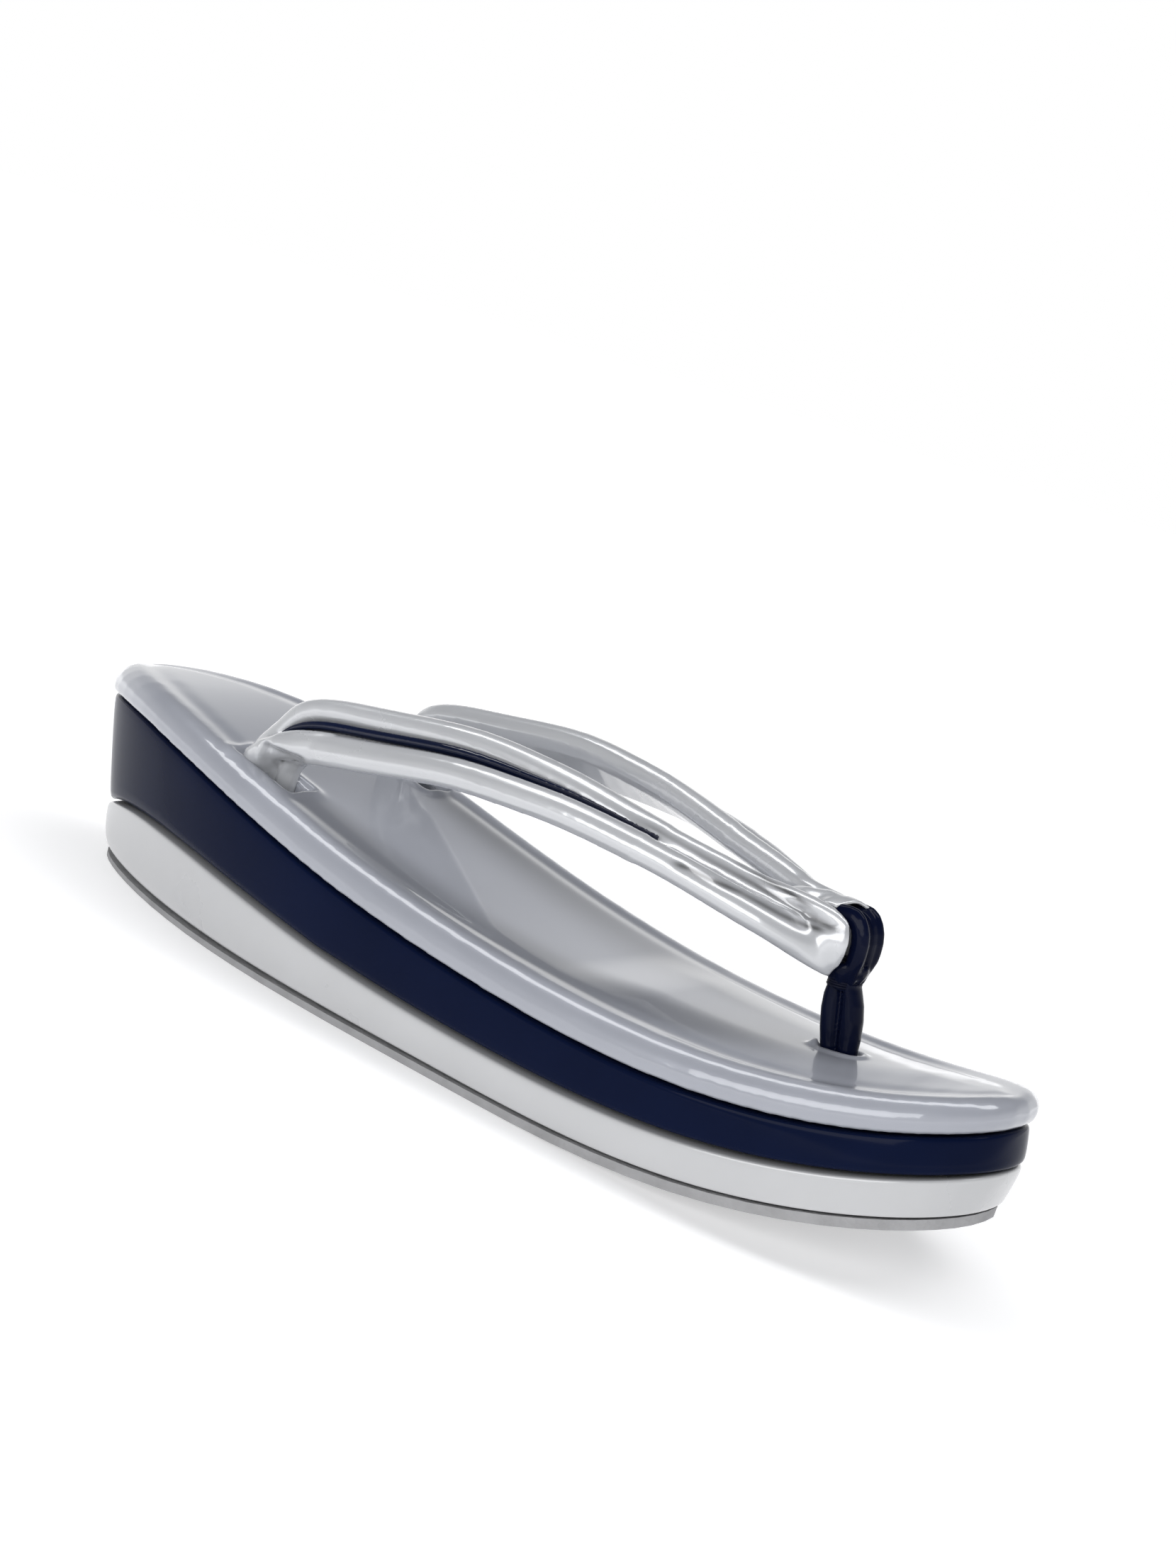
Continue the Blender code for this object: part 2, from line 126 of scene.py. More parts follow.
world = bpy.data.worlds.new("light_tent")
world.use_nodes = True
bpy.context.scene.world = world
sky_nodes = world.node_tree.nodes
sky_links = world.node_tree.links
sky_place = sky_nodes.new("ShaderNodeTexCoord")
sky_split = sky_nodes.new("ShaderNodeSeparateXYZ")
sky_ramp = sky_nodes.new("ShaderNodeValToRGB")
sky_ramp.color_ramp.elements[0].position = SKY_LOW_TO
sky_ramp.color_ramp.elements[0].color = SKY_LOW
sky_ramp.color_ramp.elements[1].position = SKY_HIGH_FROM
sky_ramp.color_ramp.elements[1].color = SKY_HIGH
sky_side = sky_nodes.new("ShaderNodeVectorMath")
sky_side.operation = "DOT_PRODUCT"
sky_side.inputs[1].default_value = SKY_DIM_SIDE
sky_dim = sky_nodes.new("ShaderNodeMapRange")
sky_dim.inputs["To Min"].default_value = 1.0
sky_dim.inputs["To Max"].default_value = SKY_DIM_TO
sky_links.new(sky_place.outputs["Generated"], sky_split.inputs["Vector"])
sky_links.new(sky_place.outputs["Generated"], sky_side.inputs[0])
sky_links.new(sky_side.outputs["Value"], sky_dim.inputs["Value"])
sky_links.new(sky_split.outputs["Z"], sky_ramp.inputs["Fac"])
sky_links.new(sky_ramp.outputs["Color"], sky_nodes["Background"].inputs["Color"])
sky_links.new(sky_dim.outputs["Result"], sky_nodes["Background"].inputs["Strength"])

Lamp = namedtuple("Lamp", "name place aim size watts")
LAMPS = (
    Lamp("soft_top", (-0.02, 0.07, 0.90), (0.0, 0.0, 0.03), (1.5, 0.22), 5.6),
    Lamp("soft_front", (0.22, -1.00, 0.44), (0.02, 0.0, 0.03), (1.0, 0.50), 6.4),
)
for lamp in LAMPS:
    lamp_data = bpy.data.lights.new(lamp.name, "AREA")
    lamp_data.shape = "RECTANGLE"
    lamp_data.size, lamp_data.size_y = lamp.size
    lamp_data.energy = lamp.watts
    lamp_object = bpy.data.objects.new(lamp.name, lamp_data)
    bpy.context.scene.collection.objects.link(lamp_object)
    lamp_object.location = lamp.place
    toward = Vector(lamp.aim) - Vector(lamp.place)
    lamp_object.rotation_euler = toward.to_track_quat("-Z", "Y").to_euler()


# Outsole. A thin sheet of matt grey crepe rubber, cut a little inside the wedge and glued under
# it, with a fine pebbled grain.
MERGE_DISTANCE = 0.005 * MM
SHARP_ANGLE = math.radians(35)
RUBBER_ROUGHNESS = 0.82
RUBBER_DARK = (0.23, 0.23, 0.235, 1.0)
RUBBER_LIGHT = (0.40, 0.40, 0.41, 1.0)
RUBBER_CLOUD_SCALE = 160.0
RUBBER_CLOUD_DETAIL = 6.0
PEBBLE_SCALE = 900.0
PEBBLE_STRENGTH = 0.5
PEBBLE_HEIGHT = 0.0003


def take(piece):
    """Makes a piece the only one selected, and the active one."""
    bpy.ops.object.select_all(action="DESELECT")
    piece.select_set(True)
    bpy.context.view_layer.objects.active = piece


def apply_modifier(piece, kind, **settings):
    """Adds a modifier with its settings and applies it."""
    take(piece)
    modifier = piece.modifiers.new(kind.lower(), kind)
    for key, value in settings.items():
        setattr(modifier, key, value)
    bpy.ops.object.modifier_apply(modifier=modifier.name)


def skin_of(node, name):
    """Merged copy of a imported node's mesh, which stands for the node and can be shaped."""
    piece = bpy.data.objects.new(name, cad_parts[node].data.copy())
    bpy.context.scene.collection.objects.link(piece)
    piece.data.materials.clear()
    take(piece)
    bpy.ops.object.mode_set(mode="EDIT")
    bpy.ops.mesh.select_all(action="SELECT")
    bpy.ops.mesh.customdata_custom_splitnormals_clear()
    bpy.ops.mesh.remove_doubles(threshold=MERGE_DISTANCE)
    bpy.ops.mesh.normals_make_consistent(inside=False)
    bpy.ops.object.mode_set(mode="OBJECT")
    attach(piece, "root")
    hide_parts(node)
    return piece


outsole = skin_of("outsole", "outsole_sheet")
take(outsole)
bpy.ops.object.shade_smooth_by_angle(angle=SHARP_ANGLE)

rubber = bpy.data.materials.new("grey_crepe_rubber")
rubber.use_nodes = True
rubber_nodes = rubber.node_tree.nodes
rubber_links = rubber.node_tree.links
rubber_shader = rubber_nodes["Principled BSDF"]
rubber_shader.inputs["Roughness"].default_value = RUBBER_ROUGHNESS
rubber_place = rubber_nodes.new("ShaderNodeTexCoord")
rubber_cloud = rubber_nodes.new("ShaderNodeTexNoise")
rubber_cloud.inputs["Scale"].default_value = RUBBER_CLOUD_SCALE
rubber_cloud.inputs["Detail"].default_value = RUBBER_CLOUD_DETAIL
rubber_tone = rubber_nodes.new("ShaderNodeValToRGB")
rubber_tone.color_ramp.elements[0].color = RUBBER_DARK
rubber_tone.color_ramp.elements[1].color = RUBBER_LIGHT
rubber_pebble = rubber_nodes.new("ShaderNodeTexVoronoi")
rubber_pebble.inputs["Scale"].default_value = PEBBLE_SCALE
rubber_bump = rubber_nodes.new("ShaderNodeBump")
rubber_bump.inputs["Strength"].default_value = PEBBLE_STRENGTH
rubber_bump.inputs["Distance"].default_value = PEBBLE_HEIGHT
rubber_links.new(rubber_place.outputs["Object"], rubber_cloud.inputs["Vector"])
rubber_links.new(rubber_place.outputs["Object"], rubber_pebble.inputs["Vector"])
rubber_links.new(rubber_cloud.outputs["Fac"], rubber_tone.inputs["Fac"])
rubber_links.new(rubber_tone.outputs["Color"], rubber_shader.inputs["Base Color"])
rubber_links.new(rubber_pebble.outputs["Distance"], rubber_bump.inputs["Height"])
rubber_links.new(rubber_bump.outputs["Normal"], rubber_shader.inputs["Normal"])
outsole.data.materials.append(rubber)


# Lower wedge. A board of pressed cork wrapped in silver enamel vinyl, drawn tight round the wall
# and turned under, with its rounded heel corner.
QUAD_FACE_ANGLE = math.radians(50)
QUAD_SHAPE_ANGLE = math.radians(60)
ROUNDINGS = 2
FLAKE_SCALE = 45.0
FLAKE_DETAIL = 5.0
FLAKE_FROM = 0.3
FLAKE_TO = 0.7
RUBBED_SHARE = 0.85
DULLED_SHARE = 1.2
PEEL_SCALE = 700.0
PEEL_DETAIL = 2.0
PEEL_HEIGHT = 0.0001
# Painted shade: the enamel's colour is scaled down to this share along the strap's folds.
PAINTED_FOLD_SHADE = 0.14


def loft_again(piece):
    """Turns the triangles back into the loft's four-sided faces and rounds them twice."""
    take(piece)
    bpy.ops.object.mode_set(mode="EDIT")
    bpy.ops.mesh.select_all(action="SELECT")
    bpy.ops.mesh.tris_convert_to_quads(face_threshold=QUAD_FACE_ANGLE,
                                       shape_threshold=QUAD_SHAPE_ANGLE)
    bpy.ops.object.mode_set(mode="OBJECT")
    apply_modifier(piece, "SUBSURF", levels=ROUNDINGS, render_levels=ROUNDINGS)


def cover(piece, material):
    """Shades a piece smoothly and covers it in its material."""
    take(piece)
    bpy.ops.object.shade_smooth()
    piece.data.materials.append(material)


def enamel(name, color, metallic, roughness, specular, coat, coat_roughness, mottle, peel):
    """Patent vinyl: a pigmented film with a clear gloss, cloudy flake and faint orange peel, and
    painted shade that darkens its colour along folds."""
    material = bpy.data.materials.new(name)
    material.use_nodes = True
    nodes = material.node_tree.nodes
    links = material.node_tree.links
    shader = nodes["Principled BSDF"]
    shader.inputs["Metallic"].default_value = metallic
    shader.inputs["Specular IOR Level"].default_value = specular
    shader.inputs["Coat Weight"].default_value = coat
    shader.inputs["Coat Roughness"].default_value = coat_roughness
    place = nodes.new("ShaderNodeTexCoord")
    cloud = nodes.new("ShaderNodeTexNoise")
    cloud.inputs["Scale"].default_value = FLAKE_SCALE
    cloud.inputs["Detail"].default_value = FLAKE_DETAIL
    tone = nodes.new("ShaderNodeValToRGB")
    tone.color_ramp.elements[0].position = FLAKE_FROM
    tone.color_ramp.elements[1].position = FLAKE_TO
    tone.color_ramp.elements[0].color = (*(c * (1.0 - mottle) for c in color), 1.0)
    tone.color_ramp.elements[1].color = (*(min(c * (1.0 + mottle), 1.0) for c in color), 1.0)
    rub = nodes.new("ShaderNodeMapRange")
    rub.inputs["To Min"].default_value = roughness * RUBBED_SHARE
    rub.inputs["To Max"].default_value = roughness * DULLED_SHARE
    skin = nodes.new("ShaderNodeTexNoise")
    skin.inputs["Scale"].default_value = PEEL_SCALE
    skin.inputs["Detail"].default_value = PEEL_DETAIL
    bump = nodes.new("ShaderNodeBump")
    bump.inputs["Strength"].default_value = peel
    bump.inputs["Distance"].default_value = PEEL_HEIGHT
    # Painted shade: the colour is darkened where a piece's fold attribute is high, along its
    # folds.
    painted_fold_shade = nodes.new("ShaderNodeAttribute")
    painted_fold_shade.attribute_name = "painted_fold_shade"
    shaded = nodes.new("ShaderNodeMapRange")
    shaded.inputs["To Min"].default_value = 1.0
    shaded.inputs["To Max"].default_value = PAINTED_FOLD_SHADE
    shade_darkened_color = nodes.new("ShaderNodeVectorMath")
    shade_darkened_color.operation = "SCALE"
    links.new(place.outputs["Object"], cloud.inputs["Vector"])
    links.new(place.outputs["Object"], skin.inputs["Vector"])
    links.new(cloud.outputs["Fac"], tone.inputs["Fac"])
    links.new(cloud.outputs["Fac"], rub.inputs["Value"])
    links.new(painted_fold_shade.outputs["Fac"], shaded.inputs["Value"])
    links.new(tone.outputs["Color"], shade_darkened_color.inputs["Vector"])
    links.new(shaded.outputs["Result"], shade_darkened_color.inputs["Scale"])
    links.new(shade_darkened_color.outputs["Vector"], shader.inputs["Base Color"])
    links.new(rub.outputs["Result"], shader.inputs["Roughness"])
    links.new(skin.outputs["Fac"], bump.inputs["Height"])
    links.new(bump.outputs["Normal"], shader.inputs["Normal"])
    return material


lower_wedge = skin_of("lower_wedge", "lower_wedge_wrap")
loft_again(lower_wedge)
cover(lower_wedge, enamel("silver_wedge_enamel", color=(0.49, 0.495, 0.505), metallic=0.10,
                          roughness=0.28, specular=0.3, coat=0.6, coat_roughness=0.06,
                          mottle=0.03, peel=0.06))


# Upper wedge. A second board, in deep navy patent vinyl, whose top edge is rounded where the
# film turns in under the padded top.
NAVY = (0.0026, 0.0058, 0.024)

upper_wedge = skin_of("upper_wedge", "upper_wedge_wrap")
loft_again(upper_wedge)
cover(upper_wedge, enamel("navy_enamel", color=NAVY, metallic=0.0, roughness=0.16, specular=0.03,
                          coat=0.03, coat_roughness=0.03, mottle=0.12, peel=0.05))


# Padded top. A thin board under a layer of foam, covered in silver enamel vinyl with a fat
# rounded rim. The foam sinks a little inside the rim, and the film puckers where the straps enter.
TOP_VOXEL = 0.68 * MM
TOP_ROUNDS = 5
TOP_COLUMNS = 120
SMOOTH_SHARE = 0.5
RIM = 6.2 * MM
RIM_LEVEL_SHARE = 0.9
RIM_SINK_SHARE = 0.8
LEVEL_FADE = 2.0 * MM
LEVEL_REACH = 0.7 * MM
LEVEL_DEGREE = 11
SPINE_HALF_WIDTH = 18.0 * MM
UNDERSIDE_FACING = 0.3
SINK_DEPTH = 0.35 * MM
SINK_WIDTH = 2.6 * MM
CROWN_HEIGHT = 1.6 * MM
CROWN_WIDTH = 20.0 * MM
CROWN_FROM = 25.0 * MM
CROWN_TO = 114.0 * MM
SLIT = namedtuple("Slit", "rear front inner outer")(-60.4 * MM, -44.8 * MM, 20.4 * MM, 27.2 * MM)
PUCKER_HEIGHT = 0.55 * MM
PUCKER_WIDTH = 1.5 * MM
PUCKER_OUT = 1.6 * MM
LIP_DEPTH = 1.3 * MM
LIP_WIDTH = 0.6 * MM
LIP_OUT = 0.3 * MM
POST_HOLE = namedtuple("PostHole", "x half edge width")(79.0 * MM, 2.0 * MM, 3.2 * MM, 0.8 * MM)
TEAR = namedtuple("Tear", "x y width height")(74.3 * MM, -1.2 * MM, 1.1 * MM, 1.0 * MM)


def even_skin(piece, voxel, rounds):
    """Gives a piece one even skin and smooths it."""
    apply_modifier(piece, "REMESH", mode="VOXEL", voxel_size=voxel)
    apply_modifier(piece, "SMOOTH", factor=SMOOTH_SHARE, iterations=rounds)


def points_of(piece):
    """A piece's points as an array with one row each."""
    flat = np.empty(len(piece.data.vertices) * 3)
    piece.data.vertices.foreach_get("co", flat)
    return flat.reshape(-1, 3)


def normals_of(piece):
    """The directions in which a piece's surface faces at its points."""
    flat = np.empty(len(piece.data.vertices) * 3)
    piece.data.vertices.foreach_get("normal", flat)
    return flat.reshape(-1, 3)


def set_points(piece, points):
    """Moves a piece's points to new places."""
    piece.data.vertices.foreach_set("co", np.ascontiguousarray(points).ravel())
    piece.data.update()


def ease(value):
    """Smooth step from 0 to 1."""
    value = np.clip(value, 0.0, 1.0)
    return value * value * (3.0 - 2.0 * value)


def bell(distance, width):
    """Soft bump of height 1 that fades over a width."""
    return np.exp(-(distance / width) ** 2)


padded_top = skin_of("padded_top", "padded_top_cover")
even_skin(padded_top, TOP_VOXEL, TOP_ROUNDS)
points = points_of(padded_top)
x, out, z = points[:, 0], np.abs(points[:, 1]), points[:, 2]
columns = np.linspace(x.min(), x.max(), TOP_COLUMNS + 1)
column_of = np.clip(np.digitize(x, columns) - 1, 0, TOP_COLUMNS - 1)
widest = np.array([out[column_of == i].max() for i in range(TOP_COLUMNS)])
middle = (columns[:-1] + columns[1:]) / 2.0
half_width = np.interp(x, middle, widest)
slope = np.interp(x, middle, np.gradient(widest, middle))
inset = (half_width - out) / np.sqrt(1.0 + slope ** 2)
low_side = normals_of(padded_top)[:, 2] < UNDERSIDE_FACING
spine = (out < SPINE_HALF_WIDTH) & ~low_side & (inset > RIM)
surface = np.polynomial.Polynomial.fit(x[spine], z[spine], LEVEL_DEGREE)
flat_top = ease((inset - RIM * RIM_LEVEL_SHARE) / LEVEL_FADE) * ~low_side
near_surface = np.abs(z - surface(x)) < LEVEL_REACH
z += (surface(x) - z) * flat_top * near_surface
sunk = bell(inset - RIM - SINK_WIDTH, SINK_WIDTH) * ~low_side * (inset > RIM * RIM_SINK_SHARE)
z -= SINK_DEPTH * sunk
crown = ease((inset - RIM) / CROWN_WIDTH) * ease((x - CROWN_FROM) / CROWN_WIDTH)
z += CROWN_HEIGHT * crown * ease((CROWN_TO - x) / CROWN_WIDTH) * ~low_side
beyond_x = np.maximum(np.maximum(SLIT.rear - x, x - SLIT.front), 0.0)
beyond_y = np.maximum(np.maximum(SLIT.inner - out, out - SLIT.outer), 0.0)
from_slit = np.hypot(beyond_x, beyond_y)
z += PUCKER_HEIGHT * bell(from_slit - PUCKER_OUT, PUCKER_WIDTH) * near_surface * ~low_side
z -= LIP_DEPTH * bell(from_slit - LIP_OUT, LIP_WIDTH) * near_surface * ~low_side
from_post = np.hypot(np.maximum(np.abs(x - POST_HOLE.x) - POST_HOLE.half, 0.0), out)
from_tear = np.hypot(x - TEAR.x, points[:, 1] - TEAR.y)
z += (PUCKER_HEIGHT * bell(from_post - POST_HOLE.edge, POST_HOLE.width)
      + TEAR.height * bell(from_tear, TEAR.width)) * near_surface * ~low_side
set_points(padded_top, points)
cover(padded_top, enamel("silver_top_enamel", color=(0.335, 0.348, 0.390), metallic=0.12,
                         roughness=0.30, specular=0.15, coat=0.9, coat_roughness=0.04,
                         mottle=0.03, peel=0.04))


# Strap. Two rolls of padded silver vinyl side by side on each arm, sewn to a stiff tape and drawn
# together over the toe loop. The lower roll turns outside the upper one and down into the slit,
# where its lining is gathered, and long folds run forward to the loop.
Ring = namedtuple("Ring", "x y z turn along across")
TUBE_SIDES = 28
STRAP_VOXEL = 0.43 * MM
STRAP_ROUNDS = 6
VALLEY_ROUNDS = 40
FRONT_ROUNDS = 50
CREASED_ROUNDS = 4
FRONT_FOLD_ROUNDS = 26
ROOT_ROLL = (
    Ring(-57.2, 24.6, 37.5, 0, 3.2, 3.2),
    Ring(-57.0, 25.2, 40.5, 4, 3.3, 3.3),
    Ring(-56.2, 25.8, 43.2, 20, 3.5, 3.5),
    Ring(-53.9, 26.3, 45.8, 45, 3.7, 3.7),
    Ring(-50.2, 26.4, 47.5, 66, 3.8, 3.8),
    Ring(-46.0, 26.2, 48.8, 72, 3.6, 3.6),
    Ring(-41.5, 25.8, 50.1, 75, 3.0, 3.0),
    Ring(-38.0, 25.6, 51.0, 76, 2.0, 2.0),
)
FLAP_CUSHION = (
    Ring(70.4, 6.2, 47.8, 0, 3.0, 1.1),
    Ring(71.2, 6.3, 49.2, 0, 4.6, 1.7),
    Ring(71.6, 6.4, 52.0, 0, 5.2, 2.0),
    Ring(71.8, 6.4, 55.0, 0, 4.8, 1.9),
    Ring(71.6, 6.2, 57.0, 0, 4.0, 1.5),
    Ring(71.0, 6.0, 58.0, 0, 2.6, 1.0),
)
UPPER_ROLL_END = (
    Ring(56.0, 6.6, 58.2, 84, 1.8, 1.8),
    Ring(60.0, 6.3, 58.5, 86, 2.4, 2.4),
    Ring(65.0, 5.9, 58.5, 94, 2.5, 2.5),
    Ring(69.0, 5.8, 58.0, 100, 2.2, 2.2),
    Ring(72.0, 5.8, 57.3, 108, 1.7, 1.7),
    Ring(74.5, 5.8, 56.4, 112, 1.0, 1.0),
)
HEEL_CORNER = namedtuple("HeelCorner", "x out z reach")(-57.5 * MM, 25.0 * MM, 51.5 * MM, 6.5 * MM)
HEEL_CORNER_MOVE = (2.2 * MM, -1.2 * MM)
LINING = namedtuple("Lining", "rear front top out depth")(
    -53.5 * MM, -42.0 * MM, 48.0 * MM, 22.5 * MM, 2.8 * MM)
LINING_FADE = namedtuple("LiningFade", "rear front top")(1.2 * MM, 2.0 * MM, 1.6 * MM)
ROOT_LEAN = namedtuple("RootLean", "shift front length height")(
    3.2 * MM, -38.0 * MM, 8.0 * MM, 7.0 * MM)
LOOP_EDGE = 4.9 * MM
FLAP_FROM = 60.0 * MM
FLAP_END = 76.7 * MM
FLAP_FADE = 6.0 * MM
FLAP_STRETCH = 2.4
FLAP_OUT = 6.8 * MM
FLAP_LEVELS = np.arange(45.0, 62.0) * MM
FLAP_LEVEL_REACH = 0.8 * MM
FLAP_LEAST = 7.0 * MM
FLAP_BLEND = (0.25, 0.5, 0.25)
FLAP_BEND_OUT = namedtuple("FlapBendOut", "start bend")(5.4 * MM, 0.020 / MM)
FLAP_BEND_UP = namedtuple("FlapBendUp", "middle start bend")(54.5 * MM, 2.5 * MM, 0.022 / MM)
VALLEY = ((42.3, 16.6, 60.6), (50.4, 14.6, 59.6), (57.6, 12.3, 58.6), (63.2, 9.4, 57.8),
          (67.6, 6.6, 57.1), (73.1, 4.5, 56.3))
VALLEY_REACH = 4.0 * MM
FRONT_FROM = 36.0 * MM
Crease = namedtuple("Crease", "depth width sideways path")
FOLD_LINES = (
    Crease(0.40, 0.90, 0.3, ((43.0, 23.1, 58.9), (47.1, 21.7, 58.8), (51.3, 20.3, 58.3),
                             (57.3, 16.6, 58.0), (64.0, 13.3, 56.5), (68.5, 9.1, 55.3),
                             (72.5, 8.0, 55.2))),
    Crease(0.30, 0.80, 0.3, ((49.2, 10.4, 61.7), (53.6, 10.4, 61.1), (57.6, 9.7, 60.2),
                             (60.8, 8.7, 59.6), (63.7, 7.5, 59.0), (68.5, 5.6, 57.8))),
    Crease(0.70, 0.90, 0.3, ((28.0, 19.9, 62.8), (34.5, 18.4, 62.1), (42.3, 16.6, 61.0),
                             (47.1, 15.4, 60.2), (51.6, 14.0, 59.6), (56.0, 12.4, 58.9),
                             (60.0, 10.8, 58.0), (64.0, 9.8, 57.2), (68.0, 9.0, 56.6),
                             (72.0, 8.4, 56.4), (77.0, 7.0, 57.0))),
    Crease(0.55, 0.50, 1.0, ((-58.5, 28.6, 44.0), (-55.5, 30.0, 46.2), (-52.0, 30.6, 47.6))),
    Crease(0.50, 0.45, 1.0, ((-60.5, 25.0, 44.5), (-58.5, 27.8, 45.8), (-56.0, 29.6, 48.5))),
    Crease(0.60, 0.50, 1.0, ((-51.5, 24.6, 41.5), (-50.5, 24.4, 44.5), (-51.0, 24.8, 47.0))),
    Crease(0.60, 0.45, 1.0, ((-48.5, 24.2, 42.0), (-47.5, 24.6, 45.0), (-46.0, 24.8, 47.5))),
    Crease(0.60, 0.50, 1.0, ((-58.0, 21.4, 42.5), (-55.5, 21.0, 45.5), (-54.5, 21.6, 49.0))),
    Crease(0.55, 0.50, 1.0, ((-53.5, 20.6, 42.0), (-51.0, 20.8, 45.0), (-49.0, 21.4, 48.5))),
    Crease(0.55, 0.45, 1.0, ((-49.5, 20.8, 42.5), (-47.5, 21.0, 44.5), (-44.5, 22.0, 47.0))),
)
FOLD_SHADE_WIDTH = 0.65
FOLD_FADE = 0.12
OUTER_FACE_FROM = -0.1
OUTER_FACE_FADE = 0.4


def ring_tube(name, rings):
    """Closed tube drawn from a disc by pushing it out ring after ring, turned and sized."""
    bpy.ops.object.select_all(action="DESELECT")
    bpy.ops.mesh.primitive_circle_add(vertices=TUBE_SIDES, radius=MM, fill_type="NGON",
                                      location=(0.0, 0.0, 0.0))
    piece = bpy.context.object
    piece.name = name
    bpy.ops.object.mode_set(mode="EDIT")
    bpy.ops.mesh.select_all(action="SELECT")
    last = Ring(0.0, 0.0, 0.0, 0, 1.0, 1.0)
    for ring in rings:
        move = tuple((a - b) * MM for a, b in zip(ring[:3], last[:3]))
        if last.z == 0.0:
            bpy.ops.transform.translate(value=move)
        else:
            bpy.ops.mesh.extrude_region_move(TRANSFORM_OT_translate={"value": move})
        centre = tuple(c * MM for c in ring[:3])
        bpy.ops.transform.resize(value=(ring.along / last.along, ring.across / last.across, 1.0),
                                 center_override=centre)
        bpy.ops.transform.rotate(value=-math.radians(ring.turn - last.turn), orient_axis="Y",
                                 center_override=centre)
        last = ring
    bpy.ops.mesh.select_all(action="SELECT")
    bpy.ops.mesh.normals_make_consistent(inside=False)
    bpy.ops.object.mode_set(mode="OBJECT")
    return piece


def join_to(piece, others):
    """Joins other pieces into one piece."""
    take(piece)
    for other in others:
        other.select_set(True)
    bpy.ops.object.join()


def along_path(points, path):
    """How far points lie from a chain of places, and at what share of it each is nearest."""
    nearest = np.full(len(points), np.inf)
    share = np.zeros(len(points))
    for i, (start, end) in enumerate(zip(path, path[1:])):
        leg = end - start
        step = np.clip((points - start) @ leg / (leg @ leg), 0.0, 1.0)
        distance = np.linalg.norm(points - start - step[:, None] * leg, axis=1)
        closer = distance < nearest
        nearest[closer] = distance[closer]
        share[closer] = (i + step[closer]) / (len(path) - 1)
    return nearest, share


def crease_piece(piece, creases):
    """Presses soft folds into a piece along paths that are the same on both sides, and keeps how
    deep each point lies in them as an attribute of painted shade that darkens the enamel's colour."""
    points, normals = points_of(piece), normals_of(piece)
    one_side = points * 1.0
    one_side[:, 1] = np.abs(one_side[:, 1])
    outward = normals[:, 1] * np.sign(points[:, 1])
    shade = np.zeros(len(points))
    for crease in creases:
        seen = np.array((1.0, crease.sideways, 1.0))
        distance, share = along_path(one_side * seen, np.array(crease.path) * seen * MM)
        fade = ease(share / FOLD_FADE) * ease((1.0 - share) / FOLD_FADE)
        if crease.sideways < 1.0:
            fade *= ease((outward - OUTER_FACE_FROM) / OUTER_FACE_FADE)
        points -= normals * (crease.depth * MM * bell(distance, crease.width * MM) * fade)[:, None]
        shade = np.maximum(shade, bell(distance, FOLD_SHADE_WIDTH * crease.width * MM) * fade)
    set_points(piece, points)
    # This attribute is painted shade for the folds, by which the enamel darkens its colour.
    piece.data.attributes.new("painted_fold_shade", "FLOAT", "POINT").data.foreach_set("value", shade)


def smooth_where(piece, name, chosen, rounds):
    """Smooths only the chosen points of a piece."""
    group = piece.vertex_groups.new(name=name)
    group.add(np.flatnonzero(chosen).tolist(), 1.0, "REPLACE")
    apply_modifier(piece, "SMOOTH", factor=SMOOTH_SHARE, iterations=rounds, vertex_group=name)


strap = skin_of("strap", "strap_rolls")
added_rolls = [ring_tube("added_roll", [ring._replace(y=ring.y * side) for ring in rings])
               for rings in (ROOT_ROLL, FLAP_CUSHION, UPPER_ROLL_END) for side in (-1.0, 1.0)]
join_to(strap, added_rolls)
even_skin(strap, STRAP_VOXEL, STRAP_ROUNDS)
points = points_of(strap)
x, y, z = points[:, 0], points[:, 1], points[:, 2]
out = np.abs(y)
from_corner = np.sqrt((x - HEEL_CORNER.x) ** 2 + (out - HEEL_CORNER.out) ** 2
                      + (z - HEEL_CORNER.z) ** 2)
pull = bell(from_corner, HEEL_CORNER.reach)
x += HEEL_CORNER_MOVE[0] * pull
z += HEEL_CORNER_MOVE[1] * pull
in_lining = (ease((x - LINING.rear) / LINING_FADE.rear)
             * ease((LINING.front - x) / LINING_FADE.front)
             * ease((LINING.top - z) / LINING_FADE.top) * (out > LINING.out))
y -= np.sign(y) * LINING.depth * in_lining
leaning = (ease((x - LINING.rear) / ROOT_LEAN.length)
           * ease((LINING.top - z) / ROOT_LEAN.height) * (x < ROOT_LEAN.front))
x -= ROOT_LEAN.shift * leaning
beside_loop = out > LOOP_EDGE
at_end = beside_loop & (out < FLAP_OUT) & (x > FLAP_FROM)
reach = np.array([x[at_end & (np.abs(z - level) < FLAP_LEVEL_REACH)].max(
    initial=FLAP_FROM + FLAP_LEAST) for level in FLAP_LEVELS])
reach = np.convolve(np.pad(reach, 1, mode="edge"), FLAP_BLEND, mode="valid")
above = np.abs(z - FLAP_BEND_UP.middle) - FLAP_BEND_UP.start
end = (FLAP_END - FLAP_BEND_OUT.bend * np.maximum(out - FLAP_BEND_OUT.start, 0.0) ** 2
       - FLAP_BEND_UP.bend * np.maximum(above, 0.0) ** 2)
stretch = (end - FLAP_FROM) / (np.interp(z, FLAP_LEVELS, reach) - FLAP_FROM)
stretch = np.clip(stretch, 1.0, FLAP_STRETCH)
forward = np.maximum(x - FLAP_FROM, 0.0)
x += forward * (stretch - 1.0) * ease(forward / FLAP_FADE) * beside_loop
x += (end - x) * (x > end) * beside_loop
set_points(strap, points)
distance = along_path(np.column_stack((x, np.abs(y), z)), np.array(VALLEY) * MM)[0]
smooth_where(strap, "valley", distance < VALLEY_REACH, VALLEY_ROUNDS)
